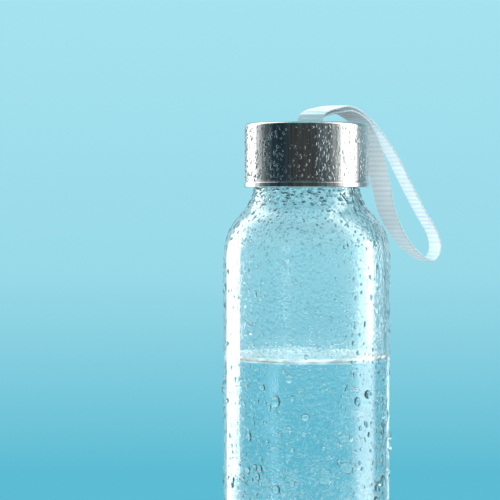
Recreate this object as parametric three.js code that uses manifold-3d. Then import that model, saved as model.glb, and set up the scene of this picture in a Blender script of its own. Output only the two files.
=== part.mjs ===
// Glass water bottle with a screw cap and a woven carrying loop.
// Millimetres, +Z up. The origin is the centre of the bottle's flat base.

import * as THREE from "three";
import { mergeVertices } from "three/addons/utils/BufferGeometryUtils.js";
import Module from "manifold-3d";

const wasm = await Module();
wasm.setup();

// ---- Driving dimensions ----------------------------------------------------

// Overall.
const HEIGHT = 215; // base to the top of the cap, without the loop
const BODY_RADIUS = 33;
const NECK_RADIUS = 20.5;
const CAP_HEIGHT = 25.6;

// Glass.
const GLASS_WALL = 2;
const BASE_THICKNESS = 4;
const HEEL_RADIUS = 5;
const SHOULDER_RADIUS = 24; // the convex bend, on the outside
const THROAT_RADIUS = 18.4; // the concave bend into the neck, on the outside
const THROAT_RISE = 2; // how far that bend reaches up under the cap's rim

// Screw thread, right-handed.
const THREAD_PITCH = 5;
const THREAD_DEPTH = 1.2;
const THREAD_CLEARANCE = 0.3; // radial, crest to root
const THREAD_FLANK_GAP = 0.3; // axial, between the loaded flanks
const THREAD_EMBED = 0.4; // how deep a ridge is rooted in its wall
const THREAD_START = 1.8; // the ridge's centre at its lower end, above the neck bend
const THREAD_RUN_OUT = 0.06; // share of a ridge's length that each end takes to run out
const GLASS_RIDGE = { base: 2, crest: 1, turns: 1.75 };
const LINER_RIDGE = { base: 1.8, crest: 0.9, turns: 1.5 };

// Cap: a drawn steel shell over a moulded liner, with a soft ring inside.
const SHELL_WALL = 0.6;
const SHELL_CORNER = 1.5;
const LINER_WALL = 1.55;
const LINER_TOP = 1.6;
const HEM_HEIGHT = 2.2; // the shell's rolled lower edge
const HEM_OVERHANG = 0.5; // how far the hem stands out past the shell's side
const HEM_ROUNDING = 0.4;
const LINER_RECESS = 0.6; // from the shell's lower edge up to the liner's
const SEAL_THICKNESS = 1.7;
const SEAL_CLEARANCE = 0.4; // radial, to the liner's bore
const GAP = 0.3; // between pieces that touch

// Carrying loop and what holds it.
const STRAP_WIDTH = 10;
const STRAP_THICKNESS = 0.9;
const SLOT_LENGTH = 14.4;
const SLOT_CLEARANCE = 0.65; // each side of the doubled strap
const PIN_RADIUS = 1;
const PIN_LENGTH = 18;
const CHAMBER_CLEARANCE = 0.5;
const CHAMBER_WALL = 1.4;
const LOOP_LIFT = 1.3; // from the cap's top to where the free loop starts
const LOOP_CAP_RADIUS = 24.45; // the cap's radius that the loop's route is drawn for
const TWIST_OUT = 66; // degrees that the upper run turns about Z
const TWIST_BACK = 42; // the same for the lower run
const TWIST_SHARE = 0.16; // share of the route over which a run turns

// Roundness of the solids.
const ROUND_SEGMENTS = 48;
const BEND_STEPS = 5;
const LOOP_STEPS = 60;

// ---- Values that follow ----------------------------------------------------

const linerBore = NECK_RADIUS + THREAD_DEPTH + THREAD_CLEARANCE;
const linerRadius = linerBore + LINER_WALL;
const shellBore = linerRadius + GAP;
const capRadius = shellBore + SHELL_WALL;
const rimZ = HEIGHT - CAP_HEIGHT;

const wrapRadius = PIN_RADIUS + GAP + STRAP_THICKNESS;
const chamberDepth = 2 * wrapRadius;
const shellCeilingZ = HEIGHT - SHELL_WALL;
const chamberFloorZ = shellCeilingZ - chamberDepth;
const linerCeilingZ = chamberFloorZ - LINER_TOP;
const lipZ = linerCeilingZ - GAP - SEAL_THICKNESS - GAP;
const throatZ = rimZ + THROAT_RISE;
const threadZ = throatZ + THREAD_START;
const slotWidth = 2 * STRAP_THICKNESS + GAP + 2 * SLOT_CLEARANCE;

// ---- Helpers ---------------------------------------------------------------

function material(colour, roughness, metalness) {
  return new THREE.MeshStandardMaterial({ color: colour, roughness, metalness });
}

/** Points on an arc in the (radius, z) plane, angles in degrees, both ends included. */
function arc(centreR, centreZ, radius, fromDegrees, toDegrees, steps = BEND_STEPS) {
  const points = [];
  for (let i = 0; i <= steps; i++) {
    const angle = THREE.MathUtils.degToRad(THREE.MathUtils.lerp(fromDegrees, toDegrees, i / steps));
    points.push([centreR + radius * Math.cos(angle), centreZ + radius * Math.sin(angle)]);
  }
  return points;
}

function lathe(points) {
  return new THREE.LatheGeometry(points.map(([r, z]) => new THREE.Vector2(r, z)), ROUND_SEGMENTS)
    .rotateX(Math.PI / 2);
}

/** A closed outline swept along z from 0 to 1, then moved point by point by place(x, y, z). */
function sweep(outline, steps, place) {
  const shape = new THREE.Shape(outline.map(([x, y]) => new THREE.Vector2(x, y)));
  const geometry = new THREE.ExtrudeGeometry(shape, { depth: 1, steps, bevelEnabled: false });
  const position = geometry.getAttribute("position");
  for (let i = 0; i < position.count; i++) {
    const moved = place(position.getX(i), position.getY(i), position.getZ(i));
    position.setXYZ(i, moved.x, moved.y, moved.z);
  }
  return geometry;
}

function solid(geometry) {
  const bare = new THREE.BufferGeometry().setAttribute("position", geometry.getAttribute("position"));
  if (geometry.index) bare.setIndex(geometry.index);
  const merged = mergeVertices(bare, 1e-4);
  return new wasm.Manifold(new wasm.Mesh({
    numProp: 3,
    vertProperties: merged.attributes.position.array,
    triVerts: new Uint32Array(merged.index.array),
  }));
}

function geometryOf(manifold) {
  const made = manifold.getMesh();
  return new THREE.BufferGeometry()
    .setAttribute("position", new THREE.BufferAttribute(new Float32Array(made.vertProperties), 3))
    .setIndex(new THREE.BufferAttribute(new Uint32Array(made.triVerts), 1));
}

function box(width, depth, lowZ, highZ) {
  return new THREE.BoxGeometry(width, depth, highZ - lowZ).translate(0, 0, (lowZ + highZ) / 2);
}

/**
 * A helical ridge: its foot is rooted in a wall at wallRadius and its crest is at crestRadius.
 * Both ends run out into the wall.
 */
function threadRidge(ridge, wallRadius, crestRadius, startZ) {
  const outwards = Math.sign(crestRadius - wallRadius);
  const footRadius = wallRadius - outwards * THREAD_EMBED;
  const sunkRadius = wallRadius - outwards * THREAD_EMBED / 2;
  const outline = [
    [-ridge.base / 2, footRadius],
    [ridge.base / 2, footRadius],
    [ridge.crest / 2, crestRadius],
    [-ridge.crest / 2, crestRadius],
  ];
  return solid(sweep(outline, Math.round(ridge.turns * ROUND_SEGMENTS), (rise, fullRadius, along) => {
    const height = (fullRadius - footRadius) / (crestRadius - footRadius);
    const grown = THREE.MathUtils.smoothstep(Math.min(along, 1 - along), 0, THREAD_RUN_OUT);
    const radius = THREE.MathUtils.lerp(
      footRadius,
      THREE.MathUtils.lerp(sunkRadius, crestRadius, grown),
      height,
    );
    const angle = along * ridge.turns * 2 * Math.PI;
    const z = startZ + along * ridge.turns * THREAD_PITCH + rise;
    return new THREE.Vector3(radius * Math.cos(angle), radius * Math.sin(angle), z);
  }));
}

// ---- Glass bottle ----------------------------------------------------------

/** One side of the wall from the shoulder's foot to the neck, offset inwards from the outside. */
function shoulder(offset) {
  const drop = BODY_RADIUS - NECK_RADIUS;
  const bend = THREE.MathUtils.radToDeg(Math.acos(1 - drop / (SHOULDER_RADIUS + THROAT_RADIUS)));
  const height = (SHOULDER_RADIUS + THROAT_RADIUS) * Math.sin(THREE.MathUtils.degToRad(bend));
  const footZ = throatZ - height;
  return [
    ...arc(BODY_RADIUS - SHOULDER_RADIUS, footZ, SHOULDER_RADIUS - offset, 0, bend),
    ...arc(NECK_RADIUS + THROAT_RADIUS, throatZ, THROAT_RADIUS + offset, 180 + bend, 180).slice(1),
  ];
}

function bottleGeometry() {
  const lip = GLASS_WALL / 2;
  const innerHeel = HEEL_RADIUS - GLASS_WALL;
  const outline = [
    [0, 0],
    ...arc(BODY_RADIUS - HEEL_RADIUS, HEEL_RADIUS, HEEL_RADIUS, -90, 0, 4),
    ...shoulder(0),
    ...arc(NECK_RADIUS - lip, lipZ - lip, lip, 0, 180, 6),
    ...shoulder(GLASS_WALL).reverse(),
    ...arc(BODY_RADIUS - HEEL_RADIUS, BASE_THICKNESS + innerHeel, innerHeel, 0, -90, 3),
    [0, BASE_THICKNESS],
  ];
  const crest = NECK_RADIUS + THREAD_DEPTH;
  const ridge = threadRidge(GLASS_RIDGE, NECK_RADIUS, crest, threadZ);
  return geometryOf(solid(lathe(outline)).add(ridge));
}

// ---- Cap -------------------------------------------------------------------

function shellGeometry() {
  const innerCorner = SHELL_CORNER - SHELL_WALL;
  const hemCentre = capRadius + HEM_OVERHANG - HEM_ROUNDING;
  const outline = [
    [0, shellCeilingZ],
    ...arc(shellBore - innerCorner, shellCeilingZ - innerCorner, innerCorner, 90, 0, 2),
    [shellBore, rimZ],
    ...arc(hemCentre, rimZ + HEM_ROUNDING, HEM_ROUNDING, -90, 0, 2),
    ...arc(hemCentre, rimZ + HEM_HEIGHT - HEM_ROUNDING, HEM_ROUNDING, 0, 90, 2),
    [capRadius, rimZ + HEM_HEIGHT],
    ...arc(capRadius - SHELL_CORNER, HEIGHT - SHELL_CORNER, SHELL_CORNER, 0, 90, 3),
    [0, HEIGHT],
  ];
  const slot = box(SLOT_LENGTH, slotWidth, shellCeilingZ - SHELL_WALL, HEIGHT + SHELL_WALL);
  return geometryOf(solid(lathe(outline)).subtract(solid(slot)));
}

/** Skirt and top plate, with a walled chamber on top that the strap's pin lies in. */
function linerGeometry() {
  const footZ = rimZ + LINER_RECESS;
  const topZ = shellCeilingZ - GAP;
  const outline = [
    [0, linerCeilingZ],
    [linerBore, linerCeilingZ],
    [linerBore, footZ],
    [linerRadius - GAP, footZ],
    [linerRadius, footZ + GAP],
    [linerRadius, topZ - SHELL_CORNER],
    [linerRadius - SHELL_CORNER, topZ],
    [linerBore - SHELL_CORNER, topZ],
    [linerBore - SHELL_CORNER, chamberFloorZ],
    [0, chamberFloorZ],
  ];
  const length = PIN_LENGTH + 2 * CHAMBER_CLEARANCE;
  const width = 2 * (wrapRadius + CHAMBER_CLEARANCE);
  const rootZ = chamberFloorZ - LINER_TOP / 2;
  const chamber = solid(box(length + 2 * CHAMBER_WALL, width + 2 * CHAMBER_WALL, rootZ, topZ))
    .subtract(solid(box(length, width, chamberFloorZ, HEIGHT)));
  const offset = (GLASS_RIDGE.base + LINER_RIDGE.crest) / 2 + THREAD_FLANK_GAP;
  const ridge = threadRidge(LINER_RIDGE, linerBore, NECK_RADIUS + THREAD_CLEARANCE, threadZ - offset);
  return geometryOf(solid(lathe(outline)).add(chamber).add(ridge));
}

function sealGeometry() {
  const outer = linerBore - SEAL_CLEARANCE;
  const inner = NECK_RADIUS - GLASS_WALL - SEAL_CLEARANCE;
  const low = lipZ + GAP;
  const high = low + SEAL_THICKNESS;
  return lathe([[inner, low], [outer, low], [outer, high], [inner, high], [inner, low]]);
}

// ---- Carrying loop ---------------------------------------------------------

const layerOffset = (STRAP_THICKNESS + GAP) / 2; // each run's middle, from the slot's centre line
const pinZ = chamberFloorZ + wrapRadius + GAP;
const strapX = (SLOT_LENGTH - STRAP_WIDTH) / 2 - SLOT_CLEARANCE; // the strap lies to one side of its slot

/** The folded end of the strap: round the pin and up through the slot, extruded along X. */
function strapTailGeometry() {
  const inner = PIN_RADIUS + GAP;
  const slotInner = GAP / 2;
  const slotOuter = slotInner + STRAP_THICKNESS;
  const neckZ = shellCeilingZ - SLOT_CLEARANCE / 2;
  const topZ = HEIGHT - GAP / 2;
  const outline = [
    [slotOuter, topZ],
    [slotInner, topZ],
    [slotInner, pinZ + inner],
    ...arc(0, pinZ, inner, 60, -240, 10),
    [-slotInner, pinZ + inner],
    [-slotInner, topZ],
    [-slotOuter, topZ],
    [-slotOuter, neckZ],
    ...arc(0, pinZ, wrapRadius, 150, 390, 10),
    [slotOuter, neckZ],
  ];
  return sweep(outline, 1, (y, z, along) => (
    new THREE.Vector3(strapX + (along - 0.5) * STRAP_WIDTH, y, z)
  ));
}

/** The free loop's middle line: out along the upper run, round the end, back along the lower. */
function loopRoute() {
  const startZ = LOOP_LIFT;
  const spread = capRadius / LOOP_CAP_RADIUS;
  const points = [
    [0, -layerOffset, startZ],
    [0.3, -0.6, startZ + 1.4],
    [2.4, 0.6, 4.5],
    [6.4, 4, 5.8],
    [12, 9.5, 6.7],
    [21, 18.5, 3.4],
    [32.4, 28.5, -9.9],
    [38.4, 33.5, -20.5],
    [45.4, 38.5, -33.6],
    [52.3, 43, -45.7],
    [53.1, 43.7, -51.5],
    [50, 40.5, -56],
    [44.5, 35.5, -53.4],
    [38.5, 31, -47.7],
    [32, 26.5, -35.7],
    [29.3, 24.5, -24.2],
    [26.7, 22.5, -13.4],
    [20.7, 17, 0.1],
    [13, 9.5, 4.8],
    [7.6, 5, 4.4],
    [3.4, 2.4, 3.6],
    [0.4, 0.7, startZ + 1],
    [0, layerOffset, startZ],
  ].map(([x, y, z]) => new THREE.Vector3(strapX + x * spread, y * spread, HEIGHT + z));
  return new THREE.CatmullRomCurve3(points, false, "centripetal");
}

/** Degrees that the strap's width is turned about Z, away from the slot's direction. */
function loopTwist(along) {
  const near = THREE.MathUtils.smoothstep(Math.min(along, 1 - along), 0, TWIST_SHARE);
  return near * THREE.MathUtils.lerp(TWIST_OUT, TWIST_BACK, THREE.MathUtils.smoothstep(along, 0.5, 0.75));
}

function strapLoopGeometry() {
  const route = loopRoute();
  const halfWidth = STRAP_WIDTH / 2;
  const halfThickness = STRAP_THICKNESS / 2;
  const outline = [
    [-halfWidth, -halfThickness],
    [halfWidth, -halfThickness],
    [halfWidth, halfThickness],
    [-halfWidth, halfThickness],
  ];
  return sweep(outline, LOOP_STEPS, (across, through, along) => {
    const turn = THREE.MathUtils.degToRad(-loopTwist(along));
    const widthways = new THREE.Vector3(Math.cos(turn), Math.sin(turn), 0);
    const outwards = route.getTangentAt(along).cross(widthways).normalize();
    return route.getPointAt(along)
      .addScaledVector(widthways, across)
      .addScaledVector(outwards, through);
  });
}

// ---- Assembly --------------------------------------------------------------

const steel = material(0xb9bdbf, 0.25, 1);
const root = new THREE.Group();

function piece(name, geometry, look) {
  const mesh = new THREE.Mesh(geometry, look);
  mesh.name = name;
  root.add(mesh);
  return mesh;
}

piece("glass_bottle", bottleGeometry(), material(0xd9f1f3, 0.05, 0));
piece("sealing_ring", sealGeometry(), material(0xe6e9e4, 0.6, 0));
piece("cap_liner", linerGeometry(), material(0xdfe6dc, 0.4, 0));
piece("cap_shell", shellGeometry(), steel);
piece("strap_tail", strapTailGeometry(), material(0xf4f6f8, 0.8, 0));
piece("strap_loop", strapLoopGeometry(), material(0xf4f6f8, 0.8, 0));

const pin = piece("strap_pin", new THREE.CylinderGeometry(PIN_RADIUS, PIN_RADIUS, PIN_LENGTH, 20), steel);
pin.rotation.z = Math.PI / 2;
pin.position.z = pinZ;

export default root;
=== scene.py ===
"""Glass water bottle: fine meshes, finishes, water, droplets and a studio round the CAD frame."""

from __future__ import annotations

import logging
import math
import random
from collections.abc import Iterable, Sequence
from dataclasses import dataclass, field
from enum import Enum

import bmesh
import bpy
from mathutils import Matrix, Vector


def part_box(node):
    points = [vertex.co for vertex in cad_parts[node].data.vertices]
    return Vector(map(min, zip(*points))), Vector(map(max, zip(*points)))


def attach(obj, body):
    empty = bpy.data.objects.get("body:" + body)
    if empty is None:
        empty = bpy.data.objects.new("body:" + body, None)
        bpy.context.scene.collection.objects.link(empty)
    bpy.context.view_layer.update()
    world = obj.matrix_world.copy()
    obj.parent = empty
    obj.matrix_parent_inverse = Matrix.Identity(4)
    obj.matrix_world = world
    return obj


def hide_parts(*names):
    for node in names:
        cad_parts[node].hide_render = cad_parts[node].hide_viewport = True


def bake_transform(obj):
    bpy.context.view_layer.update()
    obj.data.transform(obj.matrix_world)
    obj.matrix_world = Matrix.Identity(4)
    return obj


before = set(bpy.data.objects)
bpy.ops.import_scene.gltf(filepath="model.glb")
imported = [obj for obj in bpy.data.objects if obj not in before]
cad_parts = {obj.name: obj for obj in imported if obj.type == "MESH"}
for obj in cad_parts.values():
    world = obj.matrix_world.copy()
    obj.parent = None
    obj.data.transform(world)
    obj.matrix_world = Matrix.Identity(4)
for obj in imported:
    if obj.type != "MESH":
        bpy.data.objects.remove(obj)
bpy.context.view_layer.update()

log = logging.getLogger("bottle")

SEED = 20
MM = 0.001
FULL_TURN = 2 * math.pi
ROUND_STEPS = 160  # segments round a turned piece
BEND_STEPS = 14  # chords of a bend
WATER_LEVEL = 121.6 * MM
GAP = 0.3 * MM  # between pieces that touch
MERGE = 1e-7  # vertices closer than this become one
SHARP = 35  # edges that turn by more degrees than this stay sharp

Outline = list[tuple[float, float]]
Colour = tuple[float, float, float]
Spot = tuple[Vector, Vector, Vector, Vector]  # centre, normal, upward direction, half sizes


class Body(str, Enum):
    """The moving bodies that pieces ride on."""

    BOTTLE = "bottle"
    SEAL = "seal"
    CAP = "cap"
    STRAP = "strap"


class Slot(str, Enum):
    """The record's material slots."""

    GLASS = "clear_glass"
    SEAL = "soft_seal"
    LINER = "liner_plastic"
    STEEL = "cap_steel"
    PIN = "pin_steel"
    STRAP = "woven_strap"


class Cut(str, Enum):
    """How one shape acts on another."""

    ADD = "UNION"
    TAKE_AWAY = "DIFFERENCE"


def linear(red: int, green: int, blue: int) -> Colour:
    """Turn a screen colour of 0 to 255 into linear light.

    Args:
        red: the red channel.
        green: the green channel.
        blue: the blue channel.

    Returns:
        The colour that a shader takes.
    """

    def one(value: int) -> float:
        """Turn one channel into linear light."""
        share = value / 255
        return share / 12.92 if share <= 0.04045 else ((share + 0.055) / 1.055) ** 2.4

    return one(red), one(green), one(blue)


def darker(colour: Colour, share: float) -> Colour:
    """Keep a share of a colour's brightness."""
    red, green, blue = colour
    return red * share, green * share, blue * share


def ease(share: float) -> float:
    """Rise smoothly from 0 at 0 to 1 at 1, and stay level outside."""
    share = min(max(share, 0), 1)
    return share * share * (3 - 2 * share)


# ---- Shader maths ----------------------------------------------------------


class Value:
    """A shader number that takes part in Python arithmetic by adding Math nodes."""

    def __init__(self, graph: Graph, socket: bpy.types.NodeSocket) -> None:
        """Wrap one output socket of a graph."""
        self.graph = graph
        self.socket = socket

    def math(self, operation: str, *operands: Operand) -> Value:
        """Add one Math node.

        Args:
            operation: the Math node's operation.
            operands: what goes into its sockets, in order.

        Returns:
            The node's result.
        """
        inputs = dict(enumerate(operands))
        return self.graph.value("ShaderNodeMath", {"operation": operation}, inputs)

    def __add__(self, other: Operand) -> Value:
        """Add."""
        return self.math("ADD", self, other)

    def __radd__(self, other: Operand) -> Value:
        """Add to a number."""
        return self.math("ADD", other, self)

    def __sub__(self, other: Operand) -> Value:
        """Subtract."""
        return self.math("SUBTRACT", self, other)

    def __rsub__(self, other: Operand) -> Value:
        """Subtract from a number."""
        return self.math("SUBTRACT", other, self)

    def __mul__(self, other: Operand) -> Value:
        """Multiply."""
        return self.math("MULTIPLY", self, other)

    def __rmul__(self, other: Operand) -> Value:
        """Multiply a number."""
        return self.math("MULTIPLY", other, self)

    def __truediv__(self, other: Operand) -> Value:
        """Divide."""
        return self.math("DIVIDE", self, other)

    def __pow__(self, other: Operand) -> Value:
        """Raise to a power."""
        return self.math("POWER", self, other)

    def sine(self) -> Value:
        """Take the sine."""
        return self.math("SINE", self)

    def smooth(self, low: float, high: float) -> Value:
        """Rise smoothly from 0 at low to 1 at high.

        Args:
            low: where the rise starts.
            high: where it ends.

        Returns:
            The risen number.
        """
        return self.graph.value(
            "ShaderNodeMapRange",
            {"interpolation_type": "SMOOTHSTEP"},
            {"Value": self, "From Min": low, "From Max": high},
        )


Operand = Value | float


class Graph:
    """The nodes of one material or world."""

    def __init__(self, owner: bpy.types.Material | bpy.types.World) -> None:
        """Start without nodes.

        Args:
            owner: what the nodes belong to.
        """
        owner.use_nodes = True
        self.owner = owner
        self.tree = owner.node_tree
        self.tree.nodes.clear()

    @classmethod
    def of_material(cls, name: str) -> Graph:
        """Start a new material."""
        return cls(bpy.data.materials.new(name))

    def add(
        self,
        kind: str,
        settings: dict | None = None,
        inputs: dict | None = None,
    ) -> bpy.types.Node:
        """Add a node of any kind.

        Args:
            kind: the node's type.
            settings: its settings, set first; a ramp's stops are given as "stops".
            inputs: values or links for its sockets, by name or number.

        Returns:
            The new node.
        """
        node = self.tree.nodes.new(kind)
        for key, setting in (settings or {}).items():
            if key == "stops":
                self._set_stops(node.color_ramp.elements, setting)
            else:
                setattr(node, key, setting)
        for key, given in (inputs or {}).items():
            socket = node.inputs[key]
            if isinstance(given, Value):
                given = given.socket
            if isinstance(given, bpy.types.NodeSocket):
                self.tree.links.new(given, socket)
            else:
                socket.default_value = given
        return node

    def value(
        self,
        kind: str,
        settings: dict | None = None,
        inputs: dict | None = None,
        output: int | str = 0,
    ) -> Value:
        """Add a node and take one of its outputs as a number."""
        return Value(self, self.add(kind, settings, inputs).outputs[output])

    @staticmethod
    def _set_stops(
        elements: bpy.types.ColorRampElements,
        stops: Sequence[tuple[float, Colour]],
    ) -> None:
        """Give a colour ramp its stops.

        Args:
            elements: the ramp's own stops.
            stops: each stop's position from 0 to 1 and its colour.
        """
        while len(elements) < len(stops):
            elements.new(1.0)
        for element, (position, colour) in zip(elements, stops):
            element.position = position
            element.color = (*colour, 1.0)

    def place(self, scale: tuple[float, float, float] = (1, 1, 1)) -> bpy.types.NodeSocket:
        """Give object coordinates, scaled."""
        inputs = {"Vector": self.add("ShaderNodeTexCoord").outputs["Object"], "Scale": scale}
        return self.add("ShaderNodeMapping", inputs=inputs).outputs[0]

    def axes(self, vector: bpy.types.NodeSocket | None = None) -> tuple[Value, Value, Value]:
        """Split a vector into its three numbers.

        Args:
            vector: what to split, or None for the object coordinates.

        Returns:
            Its X, Y and Z.
        """
        given = self.place() if vector is None else vector
        right, back, upwards = self.add("ShaderNodeSeparateXYZ", inputs={0: given}).outputs
        return Value(self, right), Value(self, back), Value(self, upwards)

    def noise(self, vector: bpy.types.NodeSocket, scale: float, detail: float = 3) -> Value:
        """Give plain noise from 0 to 1."""
        inputs = {"Vector": vector, "Scale": scale, "Detail": detail}
        return self.value("ShaderNodeTexNoise", inputs=inputs)

    def mix(self, share: Operand, first: Colour, second: Colour) -> bpy.types.NodeSocket:
        """Mix two colours."""
        inputs = {0: share, 6: (*first, 1.0), 7: (*second, 1.0)}
        return self.add("ShaderNodeMix", {"data_type": "RGBA"}, inputs).outputs[2]

    def bump(self, height: Value, strength: float, distance: float) -> bpy.types.NodeSocket:
        """Turn a height into a normal."""
        inputs = {"Height": height, "Strength": strength, "Distance": distance}
        return self.add("ShaderNodeBump", inputs=inputs).outputs[0]

    def finish(self, inputs: dict) -> bpy.types.Material:
        """End in one Principled shader.

        Args:
            inputs: values or links for the shader's sockets.

        Returns:
            The finished material.
        """
        shader = self.add("ShaderNodeBsdfPrincipled", inputs=inputs)
        self.add("ShaderNodeOutputMaterial", inputs={"Surface": shader.outputs[0]})
        return self.owner


# ---- Finishes --------------------------------------------------------------


@dataclass(frozen=True)
class ClearGlass:
    """Clear blown glass with faint waves, misted with very fine beads of water."""

    tint: Colour = (1.0, 1.0, 1.0)
    index: float = 1.5
    wave_scale: float = 55
    patch_scale: float = 90
    coarse_beads: float = 520
    fine_beads: float = 1050
    bead_height: float = 0.24 * MM
    bead_flattening: float = 0.72

    def build(self) -> bpy.types.Material:
        """Make the material.

        Returns:
            The finish.
        """
        graph = Graph.of_material("clear_glass")
        waves = graph.noise(graph.place((1, 1, 0.4)), self.wave_scale, 2)
        patches = graph.noise(graph.place(), self.patch_scale).smooth(0.3, 0.62)
        coarse = self._bead_layer(graph, self.coarse_beads)
        fine = self._bead_layer(graph, self.fine_beads)
        beads = coarse + fine / (self.fine_beads / self.coarse_beads)
        return graph.finish({
            "Base Color": (*self.tint, 1),
            "Roughness": patches * 0.02,
            "IOR": self.index,
            "Transmission Weight": 1.0,
            "Coat Weight": 1.0,
            "Coat Roughness": 0.02,
            "Coat IOR": self.index,
            "Normal": graph.bump(waves * 0.7 + beads * patches, 0.42, self.bead_height),
        })

    def _bead_layer(self, graph: Graph, scale: float) -> Value:
        """Give round bead heights, one in each cell, of many sizes.

        Args:
            graph: the glass's nodes.
            scale: how many cells there are to a metre.

        Returns:
            The height, from 0 to 1.
        """
        vector = graph.place((1, 1, self.bead_flattening))
        cells = graph.add("ShaderNodeTexVoronoi", inputs={"Vector": vector, "Scale": scale})
        distance = Value(graph, cells.outputs["Distance"])
        size = graph.value("ShaderNodeSeparateColor", inputs={0: cells.outputs["Color"]})
        reach = distance / (size * 0.34 + 0.16)
        return 1 - reach.smooth(0.35, 1.0)


@dataclass(frozen=True)
class StillWater:
    """Clear water, with a painted glow on its surface that stands in for the light that collects
    there.
    """

    tint: Colour = (0.85, 0.958, 0.982)
    painted_glow_colour: Colour = (1.0, 0.97, 0.90)
    painted_glow_strength: float = 0.30
    painted_glow_depth: float = 0.6 * MM
    index: float = 1.333

    def build(self) -> bpy.types.Material:
        """Make the material.

        Returns:
            The finish.
        """
        graph = Graph.of_material("still_water")
        depth = graph.noise(graph.place(), 12, 1).smooth(0.3, 0.7)
        _, _, height = graph.axes()
        edge = (height - (WATER_LEVEL - self.painted_glow_depth)) * (1 / MM)
        ripple = graph.noise(graph.place((1, 1, 4)), 160, 2).smooth(0.35, 0.65) * 0.7 + 0.3
        # painted light: a cream glow emitted by the surface and the meniscus, rippled by noise
        glow = edge.smooth(0.0, 0.5) * ripple * self.painted_glow_strength
        return graph.finish({
            "Base Color": graph.mix(depth, self.tint, darker(self.tint, 0.94)),
            "Emission Color": graph.mix(glow, (0, 0, 0), self.painted_glow_colour),
            "Emission Strength": 1.0,
            "Roughness": 0.0,
            "IOR": self.index,
            "Transmission Weight": 1.0,
        })


@dataclass(frozen=True)
class DropletWater:
    """Water in small beads, with painted shade at their steep rims that stands in for the dark
    surroundings they bend into sight.
    """

    clear: Colour = (0.90, 0.975, 0.985)
    # painted shade: the dark tint that the rims take where they face steeply away
    rim: Colour = (0.08, 0.25, 0.31)
    index: float = 1.333

    def build(self) -> bpy.types.Material:
        """Make the material.

        Returns:
            The finish.
        """
        graph = Graph.of_material("droplet_water")
        facing = graph.value("ShaderNodeLayerWeight", inputs={"Blend": 0.5}, output="Facing")
        return graph.finish({
            "Base Color": graph.mix(facing.smooth(0.25, 0.85), self.clear, self.rim),
            "Roughness": 0.0,
            "IOR": self.index,
            "Transmission Weight": 1.0,
        })


@dataclass(frozen=True)
class BeadWater:
    """Water beads on steel: their rims mirror the surroundings and are darkened with painted shade,
    and their middles show the metal.
    """

    silver: Colour = (0.62, 0.67, 0.69)
    # painted shade: the dark tint that the beads' rims take
    outline: Colour = (0.10, 0.15, 0.17)

    def build(self) -> bpy.types.Material:
        """Make the material.

        Returns:
            The finish.
        """
        graph = Graph.of_material("bead_water")
        facing = graph.value("ShaderNodeLayerWeight", inputs={"Blend": 0.5}, output="Facing")
        return graph.finish({
            "Base Color": graph.mix(facing.smooth(0.25, 0.6), self.silver, self.outline),
            "Metallic": 1.0,
            "Roughness": 0.05,
            "Alpha": facing.smooth(0.02, 0.4) * 0.8 + 0.2,
        })


@dataclass(frozen=True)
class SurroundGlow:
    """Soft light that changes with the bearing, 0 towards the camera and 90 to the right."""

    strength: float = 5.5
    dark: Colour = (0.0030, 0.0074, 0.0105)
    warm: Colour = (0.0112, 0.0115, 0.0115)
    flag: Colour = (0.034, 0.066, 0.078)
    pale: Colour = (0.074, 0.123, 0.139)
    dim: Colour = (0.022, 0.030, 0.033)
    soft: Colour = (0.050, 0.058, 0.060)
    bright: Colour = (0.125, 0.135, 0.133)
    fading: Colour = (0.33, 0.335, 0.33)
    white: Colour = (0.68, 0.68, 0.67)

    def build(self) -> bpy.types.Material:
        """Make the material.

        Returns:
            The finish.
        """
        graph = Graph.of_material("surround_glow")
        right, back, _ = graph.axes()
        turn = right.math("ARCTAN2", right, 0 - back) / FULL_TURN + 0.5
        stops = [
            (-168, self.pale),
            (-156, self.pale),
            (-147, self.bright),
            (-138, self.white),
            (-121, self.white),
            (-110, self.fading),
            (-102, self.bright),
            (-92, self.soft),
            (-80, self.dim),
            (-68, self.dark),
            (-45, self.dark),
            (-22, self.warm),
            (14, self.warm),
            (34, self.dim),
            (48, self.soft),
            (60, self.bright),
            (69, self.fading),
            (76, self.white),
            (96, self.white),
            (103, self.fading),
            (109, self.soft),
            (118, self.flag),
            (134, self.flag),
            (150, self.pale),
        ]
        ramp = graph.add(
            "ShaderNodeValToRGB",
            {"stops": [(degrees / 360 + 0.5, colour) for degrees, colour in stops]},
            {0: turn},
        )
        light = {"Color": ramp.outputs[0], "Strength": self.strength}
        glow = graph.add("ShaderNodeEmission", inputs=light)
        graph.add("ShaderNodeOutputMaterial", inputs={"Surface": glow.outputs[0]})
        return graph.owner


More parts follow.
